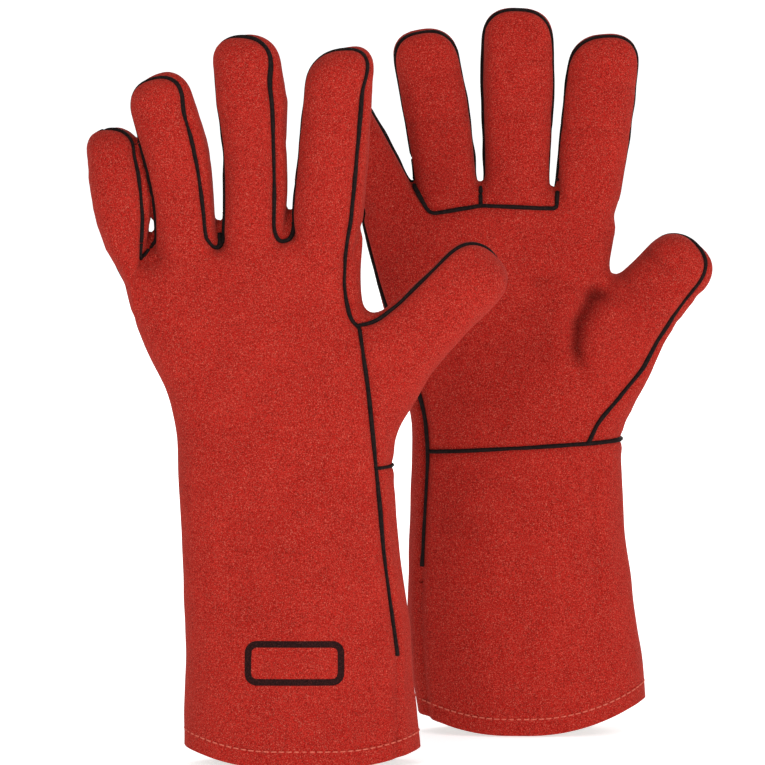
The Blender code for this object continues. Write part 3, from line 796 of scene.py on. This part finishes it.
def panel(glove, name, surface, label, material):
    """A closed sheet of leather under part of the surface."""
    points, normals, triangles, labels, flat = surface
    triangles = triangles[labels == label]
    used, packed = np.unique(triangles, return_inverse=True)
    faces = packed.reshape(-1, 3)
    outer = points[used]
    facing = normals[used]
    inner = outer - facing * LEATHER_THICKNESS
    count = len(used)
    rim = boundary_edges(faces)
    a, b = rim[:, 0], rim[:, 1]
    walls = np.concatenate(
        [np.stack([b, a, a + count], 1), np.stack([b, a + count, b + count], 1)]
    )
    every = np.concatenate([outer, inner])
    triangles = np.concatenate([faces, faces[:, ::-1] + count, walls])
    corner = np.concatenate([facing, -facing])[triangles]
    first = len(faces) * 2
    p = every[triangles[first:]]
    side = np.cross(p[:, 1] - p[:, 0], p[:, 2] - p[:, 0])
    side /= np.maximum(np.linalg.norm(side, axis=1), 1e-12)[:, None]
    corner[first:] = side[:, None, :]
    # Painted shade: how far the leather lies sunk below the plain surface, kept as the shade attribute
    # that darkens its colour.
    sunk = ((flat - points) * normals).sum(axis=1)[used]
    shade = np.tile(np.clip((sunk - SHADE_FROM) / SHADE_DEPTH, 0.0, 1.0), 2)
    return placed(glove, name, every, triangles, corner, material, shade)


def placed(glove, name, points, triangles, corner_normals, material, shade=None):
    """A piece in the world's frame."""
    if glove.palm < 0.0:
        triangles = triangles[:, ::-1]
        corner_normals = None if corner_normals is None else corner_normals[:, ::-1]
    if corner_normals is not None:
        corner_normals = corner_normals * (1.0, glove.palm, 1.0)
    title = f"{glove.name}_{name}"
    item = build_mesh(title, glove.world(points), triangles, corner_normals, shade)
    item.data.materials.append(material)
    return item


def chains(edges):
    """Edges joined into runs of vertices."""
    links = {}
    for a, b in edges.tolist():
        links.setdefault(a, []).append(b)
        links.setdefault(b, []).append(a)
    runs = []
    starts = [v for v, near in links.items() if len(near) == 1] + list(links)
    for start in starts:
        while links[start]:
            run = [start]
            while links[run[-1]]:
                step = links[run[-1]].pop()
                links[step].remove(run[-1])
                run.append(step)
            runs.append(run)
    return runs


def evened(path, step, rounds=4):
    """A path smoothed and spaced evenly."""
    path = np.array(path)
    for _ in range(rounds):
        path[1:-1] = 0.5 * path[1:-1] + 0.25 * (path[:-2] + path[2:])
    lengths = np.concatenate([[0.0], np.cumsum(np.linalg.norm(np.diff(path, axis=0), axis=1))])
    count = max(3, int(round(lengths[-1] / step)) + 1)
    marks = np.linspace(0.0, lengths[-1], count)
    return np.stack([np.interp(marks, lengths, path[:, i]) for i in range(3)], axis=1)


def sweep(path, facing, half_width, half_height, sides=8, swell=None):
    """A rounded cord along a path whose top faces a given way."""
    along = np.gradient(path, axis=0)
    along /= np.linalg.norm(along, axis=1)[:, None]
    across = np.cross(along, facing)
    across /= np.maximum(np.linalg.norm(across, axis=1), 1e-9)[:, None]
    up = np.cross(across, along)
    angles = 2.0 * np.pi * (np.arange(sides) + 0.5) / sides
    swell = np.ones(len(path)) if swell is None else swell
    ring = (
        np.cos(angles)[None, :, None] * across[:, None, :] * half_width
        + np.sin(angles)[None, :, None] * up[:, None, :] * half_height
    )
    points = (path[:, None, :] + ring * swell[:, None, None]).reshape(-1, 3)
    count = len(path)
    i = np.arange(count - 1)[:, None] * sides
    j = np.arange(sides)[None, :]
    k = (j + 1) % sides
    a, b, c, d = i + j, i + k, i + sides + k, i + sides + j
    faces = [np.stack([a, b, c], -1).reshape(-1, 3), np.stack([a, c, d], -1).reshape(-1, 3)]
    points = np.concatenate([points, path[:1], path[-1:]])
    centre = count * sides
    j = np.arange(sides)
    k = (j + 1) % sides
    faces.append(np.stack([k, j, np.full(sides, centre)], 1))
    last = (count - 1) * sides
    faces.append(np.stack([last + j, last + k, np.full(sides, centre + 1)], 1))
    return points, np.concatenate(faces)


def joined(parts):
    points, faces, start = [], [], 0
    for p, f in parts:
        points.append(p)
        faces.append(f + start)
        start += len(p)
    return np.concatenate(points), np.concatenate(faces)


def outward(points, faces):
    """Faces turned so that the closed mesh has a positive volume."""
    a, b, c = (points[faces[:, i]] for i in range(3))
    volume = (a * np.cross(b, c)).sum()
    return faces if volume > 0.0 else faces[:, ::-1]


def seam_runs(surface, label, field, tolerance=0.25, least=2.5):
    """The seam lines along a panel's edge where a field is zero."""
    points, _, triangles, labels, flat = surface
    edges = boundary_edges(triangles[labels == label])
    on = np.abs(field(flat[edges].reshape(-1, 3))).reshape(-1, 2) < tolerance
    runs = []
    for run in chains(edges[on.all(axis=1)]):
        length = np.linalg.norm(np.diff(points[run], axis=0), axis=1).sum()
        if length > least:
            runs.append(run)
    return runs


def welt(glove, name, surface, runs, material):
    """Dark piping swept along seam lines."""
    points, normals, _, _, _ = surface
    parts = []
    for run in runs:
        path = evened(points[run] + normals[run] * 0.2, WELT_STEP)
        facing = evened(normals[run], WELT_STEP)
        if len(facing) != len(path):
            marks = np.linspace(0.0, 1.0, len(path))
            old = np.linspace(0.0, 1.0, len(facing))
            facing = np.stack([np.interp(marks, old, facing[:, i]) for i in range(3)], axis=1)
        swell = 1.0 + 0.3 * glove.noise.at(path, 9.0)
        part = sweep(path, facing, WELT_HALF_WIDTH, WELT_HALF_HEIGHT, swell=swell)
        parts.append((part[0], outward(*part)))
    return placed(glove, name, *joined(parts), None, material)


def node_material(name):
    material = bpy.data.materials.new(name)
    material.use_nodes = True
    tree = material.node_tree
    return material, tree, tree.nodes["Principled BSDF"]


def add_node(tree, kind, **inputs):
    node = tree.nodes.new(kind)
    for key, value in inputs.items():
        node.inputs[key.replace("_", " ")].default_value = value
    return node


def ramp(tree, source, stops):
    node = tree.nodes.new("ShaderNodeValToRGB")
    elements = node.color_ramp.elements
    while len(elements) < len(stops):
        elements.new(0.5)
    for element, (place, colour) in zip(elements, stops):
        element.position = place
        element.color = (*colour, 1.0)
    tree.links.new(source, node.inputs["Fac"])
    return node


def resting_place(tree):
    node = tree.nodes.new("ShaderNodeAttribute")
    node.attribute_name = "rest"
    return node.outputs["Vector"]


def noise(tree, place, scale, detail=4.0, roughness=0.6):
    node = add_node(tree, "ShaderNodeTexNoise", Scale=scale, Detail=detail, Roughness=roughness)
    tree.links.new(place, node.inputs["Vector"])
    return node.outputs["Fac"]


def mix(tree, factor, first, second, blend="MIX"):
    node = tree.nodes.new("ShaderNodeMix")
    node.data_type = "RGBA"
    node.blend_type = blend
    sockets = (node.inputs[0], node.inputs[6], node.inputs[7])
    for socket, value in zip(sockets, (factor, first, second)):
        if hasattr(value, "links"):
            tree.links.new(value, socket)
        elif isinstance(value, float):
            socket.default_value = value
        else:
            socket.default_value = (*value, 1.0)
    return node.outputs[2]


def suede(name, dark, base, light):
    """Split leather: a mottled nap, pale fibre ends, and painted shade that darkens it where it sinks into
    seams, creases and hollows.
    """
    material, tree, shader = node_material(name)
    place = resting_place(tree)
    blotches = ramp(tree, noise(tree, place, 45.0), ((0.30, dark), (0.70, base)))
    grain = noise(tree, place, 1500.0, 3.0, 0.75)
    deep = ramp(tree, grain, ((0.36, (0.42, 0.26, 0.26)), (0.60, (1.0, 1.0, 1.0))))
    nap = mix(tree, 1.0, blotches.outputs["Color"], deep.outputs["Color"], "MULTIPLY")
    fibres = noise(tree, place, 2100.0, 3.0, 0.7)
    specks = ramp(tree, fibres, ((0.54, (0.0, 0.0, 0.0)), (0.74, (1.0, 1.0, 1.0))))
    lively = mix(tree, specks.outputs["Color"], nap, light)
    # Painted shade: the shade attribute darkens the colour where the leather is sunk.
    sunk = tree.nodes.new("ShaderNodeAttribute")
    sunk.attribute_name = "shade"
    painted_recess_shade = ramp(tree, sunk.outputs["Fac"], ((0.0, (1.0, 1.0, 1.0)), (1.0, (0.16, 0.12, 0.12))))
    colour = mix(tree, 1.0, lively, painted_recess_shade.outputs["Color"], "MULTIPLY")
    tree.links.new(colour, shader.inputs["Base Color"])
    shader.inputs["Roughness"].default_value = 0.95
    shader.inputs["Specular IOR Level"].default_value = 0.06
    shader.inputs["Sheen Weight"].default_value = 0.12
    shader.inputs["Sheen Roughness"].default_value = 0.5
    shader.inputs["Sheen Tint"].default_value = (1.0, 0.25, 0.18, 1.0)
    bump = add_node(tree, "ShaderNodeBump", Strength=0.8, Distance=0.0007)
    tree.links.new(grain, bump.inputs["Height"])
    tree.links.new(bump.outputs["Normal"], shader.inputs["Normal"])
    return material


def plain_cloth(name, dark, base, scale, strength):
    """Thread, piping or fleece: a fine uneven weave."""
    material, tree, shader = node_material(name)
    place = resting_place(tree)
    shade = ramp(tree, noise(tree, place, scale), ((0.35, dark), (0.7, base)))
    tree.links.new(shade.outputs["Color"], shader.inputs["Base Color"])
    shader.inputs["Roughness"].default_value = 0.85
    shader.inputs["Specular IOR Level"].default_value = 0.08
    bump = add_node(tree, "ShaderNodeBump", Strength=strength, Distance=0.0005)
    tree.links.new(noise(tree, place, scale * 1.6), bump.inputs["Height"])
    tree.links.new(bump.outputs["Normal"], shader.inputs["Normal"])
    return material


def bend_wrist(glove, item):
    low, high = WRIST_ZONE
    ends = [Vector(glove.world(np.array((0.0, 0.0, v)))) for v in (low, high)]
    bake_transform(item)


def bend_digit(glove, digit, item):
    zone = THUMB_ZONE if digit.name == "thumb" else FINGER_ZONE
    ends = [Vector(glove.world(digit.base + digit.beyond * d)) for d in (0.0, zone)]
    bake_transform(item)


def finish_piece(glove, item, slot, bend, *nodes):
    if nodes:
        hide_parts(*[f"{glove.name}_{node}" for node in nodes])
    bend(item)


def dress_digits(glove, surface, looks):
    for index, (name, digit) in enumerate(glove.digits.items()):
        mark = DIGIT_LABEL + 2 * index
        bend = partial(bend_digit, glove, digit)
        for offset, part in ((0, "back"), (1, "front")):
            item = panel(glove, f"{name}_{part}_skin", surface, mark + offset, looks["leather"])
            finish_piece(glove, item, "leather", bend, f"{name}_{part}")
        field = glove.thumb_field if name == "thumb" else glove.back_field
        runs = seam_runs(surface, mark, field)
        item = welt(glove, f"{name}_piping", surface, runs, looks["welting"])
        finish_piece(glove, item, "welting", bend, f"{name}_welt")


def dress_sleeve(glove, surface, looks):
    points = surface[0]
    bend = partial(bend_wrist, glove)
    for label, name, nodes in (
        (CUFF_BACK, "cuff_back_skin", ("cuff_back",)),
        (HAND_BACK, "hand_back_skin", ("hand_back",)),
        (CUFF_PALM, "cuff_palm_skin", ("cuff_palm_side",)),
        (PALM, "palm_skin", ("palm",)),
        (STRIP, "thumb_root_skin", ()),
        (ROOTS, "ring_root_skin", ()),
        (ROOT_MIDDLE, "middle_root_skin", ()),
        (PRINT, "cuff_print", ()),
    ):
        if label == PRINT and not glove.spec["print"]:
            continue
        look = looks["ink" if label == PRINT else "leather"]
        item = panel(glove, name, surface, label, look)
        finish_piece(glove, item, "leather", bend, *nodes)
    for label, field, name, nodes in (
        (CUFF_BACK, glove.back_field, "cuff_piping", ("cuff_welt_pinky_side", "cuff_welt_thumb_side")),
        (HAND_BACK, glove.back_field, "hand_piping", ("hand_welt_pinky_side", "hand_welt_thumb_side")),
        (CUFF_PALM, glove.wrist_field, "wrist_piping", ("wrist_welt",)),
        (STRIP, glove.thumb_field, "thumb_root_piping", ()),
        (ROOTS, glove.root_field, "finger_root_piping", ("finger_base_welt",)),
    ):
        runs = seam_runs(surface, label, field)
        if label == ROOTS:
            runs += seam_runs(surface, ROOT_MIDDLE, field)
            runs += seam_runs(surface, ROOTS, glove.root_middle)
        if name == "cuff_piping":
            runs = [above_stop(points, run) for run in runs]
            runs = [run for run in runs if len(run) > 8]
        item = welt(glove, name, surface, runs, looks["welting"])
        finish_piece(glove, item, "welting", bend, *nodes)


def above_stop(points, run):
    """The side piping stops well short of the hem."""
    stop = THUMB_SIDE_STOP if points[run][:, 0].mean() > 0.0 else PINKY_SIDE_STOP
    return [v for v in run if points[v, 2] > stop]


def lining_rings(glove, inset, heights):
    angles = 2.0 * np.pi * np.arange(LINING_SIDES) / LINING_SIDES
    c, s = np.cos(angles), np.sin(angles)
    rings = []
    for height in heights:
        left, right, depth = (float(value) for value in glove.section(height))
        x = 0.5 * (left + right) + (0.5 * (right - left) - inset) * np.sign(c) * np.abs(c) ** 0.8
        w = (depth - inset) * np.sign(s) * np.abs(s) ** 0.8
        ruffle = 0.35 * np.sin(9.0 * angles + 0.11 * height)
        lifted = height + glove.hem(x) * (1.0 - ground(np.array(height), 12.0, 70.0))
        rings.append(np.stack([x, w + ruffle * s, lifted], axis=1))
    return rings


def lining(glove, name, extent, look, node):
    """A closed tube of fleece: an outer wall going up and an inner wall coming down."""
    low, high, inset = extent
    heights = np.linspace(low, high, LINING_RINGS)
    outer = lining_rings(glove, inset, heights)
    inner = lining_rings(glove, inset + LINING_THICKNESS, heights)
    loops = outer + inner[::-1]
    points = np.concatenate(loops)
    rows, sides = len(loops), LINING_SIDES
    i = np.arange(rows)[:, None]
    j = np.arange(sides)[None, :]
    k, n = (j + 1) % sides, (i + 1) % rows
    a, b, c, d = i * sides + j, i * sides + k, n * sides + k, n * sides + j
    faces = np.concatenate(
        [np.stack([a, b, c], -1).reshape(-1, 3), np.stack([a, c, d], -1).reshape(-1, 3)]
    )
    item = placed(glove, name, points, outward(points, faces), None, look)
    finish_piece(glove, item, "lining", partial(bend_wrist, glove), node)


def hem_stitches(glove, look):
    """A row of short stitches a little above the hem."""
    left, right, depth = (float(value) for value in glove.section(STITCH_V))
    angles = np.linspace(0.0, 2.0 * np.pi, 721)
    c, s = np.cos(angles), np.sin(angles)
    u = 0.5 * (left + right) + 0.5 * (right - left) * np.sign(c) * np.abs(c) ** (2.0 / POWER)
    w = depth * np.sign(s) * np.abs(s) ** (2.0 / POWER)
    ring = np.stack([u, w, STITCH_V + glove.hem(u) * 0.97], axis=1)
    lengths = np.concatenate([[0.0], np.cumsum(np.linalg.norm(np.diff(ring, axis=0), axis=1))])
    count = int(lengths[-1] / STITCH_PITCH)
    parts = []
    for index in range(count):
        start = lengths[-1] * index / count
        marks = np.linspace(start, start + STITCH_LENGTH, 5)
        path = np.stack([np.interp(marks, lengths, ring[:, i]) for i in range(3)], axis=1)
        facing = gradient(glove.distance, path)
        facing /= np.linalg.norm(facing, axis=1)[:, None]
        lift = STITCH_RADIUS * (0.1 + 0.7 * np.sin(np.linspace(0.0, np.pi, 5)))
        path = onto_surface(glove, path, 1) + facing * lift[:, None]
        part = sweep(path, facing, STITCH_RADIUS, STITCH_RADIUS * 0.8, 6)
        parts.append((part[0], outward(*part)))
    item = placed(glove, "hem_stitches", *joined(parts), None, look)
    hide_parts(glove.name + "_hem_thread")
    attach(item, glove.name + "_cuff")


def dress_glove(name, spec, looks):
    glove = Glove(name, spec)
    flat, triangles, labels = divided_surface(glove)
    plain = vertex_normals(flat, triangles)
    points = flat + plain * relief(glove, flat, plain)[:, None]
    normals = vertex_normals(points, triangles)
    surface = (points, normals, triangles, labels, flat)
    dress_sleeve(glove, surface, looks)
    dress_digits(glove, surface, looks)
    lining(glove, "cuff_lining_cloth", CUFF_LINING, looks["lining"], "cuff_lining")
    lining(glove, "hand_lining_cloth", HAND_LINING, looks["lining"], "hand_lining")
    hem_stitches(glove, looks["thread"])


def make_looks():
    return {
        "leather": suede("red_suede", *LEATHER_RED),
        "ink": suede("printed_suede", *PRINT_BLACK),
        "welting": plain_cloth("dark_piping", *PIPING_BLACK, 900.0, 0.4),
        "lining": plain_cloth("fleece", *FLEECE_CREAM, 500.0, 0.9),
        "thread": plain_cloth("hem_thread", *THREAD_PINK, 1500.0, 0.4),
    }


def stage_floor(lo):
    size = FLOOR_SIZE
    mesh = bpy.data.meshes.new("floor")
    z = lo[2] - FLOOR_GAP
    corners = [(-size, -size, z), (size, -size, z), (size, size, z), (-size, size, z)]
    mesh.from_pydata(corners, [], [(0, 1, 2, 3)])
    item = bpy.data.objects.new("floor", mesh)
    bpy.context.scene.collection.objects.link(item)
    material, tree, shader = node_material("pale_floor")
    place = tree.nodes.new("ShaderNodeTexCoord").outputs["Object"]
    stops = ((0.3, (0.86, 0.86, 0.86)), (0.7, (0.90, 0.90, 0.90)))
    tint = ramp(tree, noise(tree, place, 3.0), stops)
    tree.links.new(tint.outputs["Color"], shader.inputs["Base Color"])
    shader.inputs["Roughness"].default_value = 0.9
    shader.inputs["Specular IOR Level"].default_value = 0.0
    shader.inputs["Emission Color"].default_value = (1.0, 1.0, 1.0, 1.0)
    shader.inputs["Emission Strength"].default_value = 0.6
    mesh.materials.append(material)


def area_light(name, place, target, power):
    data = bpy.data.lights.new(name, "AREA")
    data.shape = "DISK"
    data.size = LIGHT_SIZE
    data.energy = power
    item = bpy.data.objects.new(name, data)
    bpy.context.scene.collection.objects.link(item)
    item.location = place
    item.rotation_euler = (Vector(target) - Vector(place)).to_track_quat("-Z", "Y").to_euler()


def light_stage(centre):
    world = bpy.data.worlds.new("studio")
    bpy.context.scene.world = world
    world.use_nodes = True
    tree = world.node_tree
    sky = tree.nodes["Background"]
    sky.inputs["Color"].default_value = (1.0, 1.0, 1.0, 1.0)
    seen = tree.nodes.new("ShaderNodeLightPath")
    level = add_node(tree, "ShaderNodeMapRange", To_Min=AMBIENT, To_Max=1.0)
    tree.links.new(seen.outputs["Is Camera Ray"], level.inputs["Value"])
    tree.links.new(level.outputs["Result"], sky.inputs["Strength"])
    for name, away, power in LIGHTS:
        area_light(name, centre + Vector(away), centre, power)


def aim_camera(lo, hi):
    """A long lens, a little above level, that frames the pair."""
    span = (hi[2] - lo[2]) * CAMERA_MARGIN
    target = Vector((
        0.5 * (lo[0] + hi[0]) - CAMERA_SHIFT,
        0.5 * (lo[1] + hi[1]),
        lo[2] + CAMERA_HEIGHT_SHARE * (hi[2] - lo[2]),
    ))
    distance = span * CAMERA_LENS / CAMERA_SENSOR
    back = Vector((0.0, -math.cos(CAMERA_ELEVATION), math.sin(CAMERA_ELEVATION)))
    data = bpy.data.cameras.new("camera")
    data.lens = CAMERA_LENS
    data.sensor_width = CAMERA_SENSOR
    data.clip_end = 100.0
    item = bpy.data.objects.new("camera", data)
    bpy.context.scene.collection.objects.link(item)
    item.location = target + distance * back
    item.rotation_euler = (target - item.location).to_track_quat("-Z", "Y").to_euler()
    bpy.context.scene.camera = item


looks = make_looks()
dress_glove("left", LEFT, looks)
dress_glove("right", RIGHT, looks)
box_lo, box_hi = CAD_BOX
stage_floor(box_lo)
light_stage((box_lo + box_hi) / 2)
aim_camera(box_lo, box_hi)
bpy.context.scene.view_settings.view_transform = "Standard"
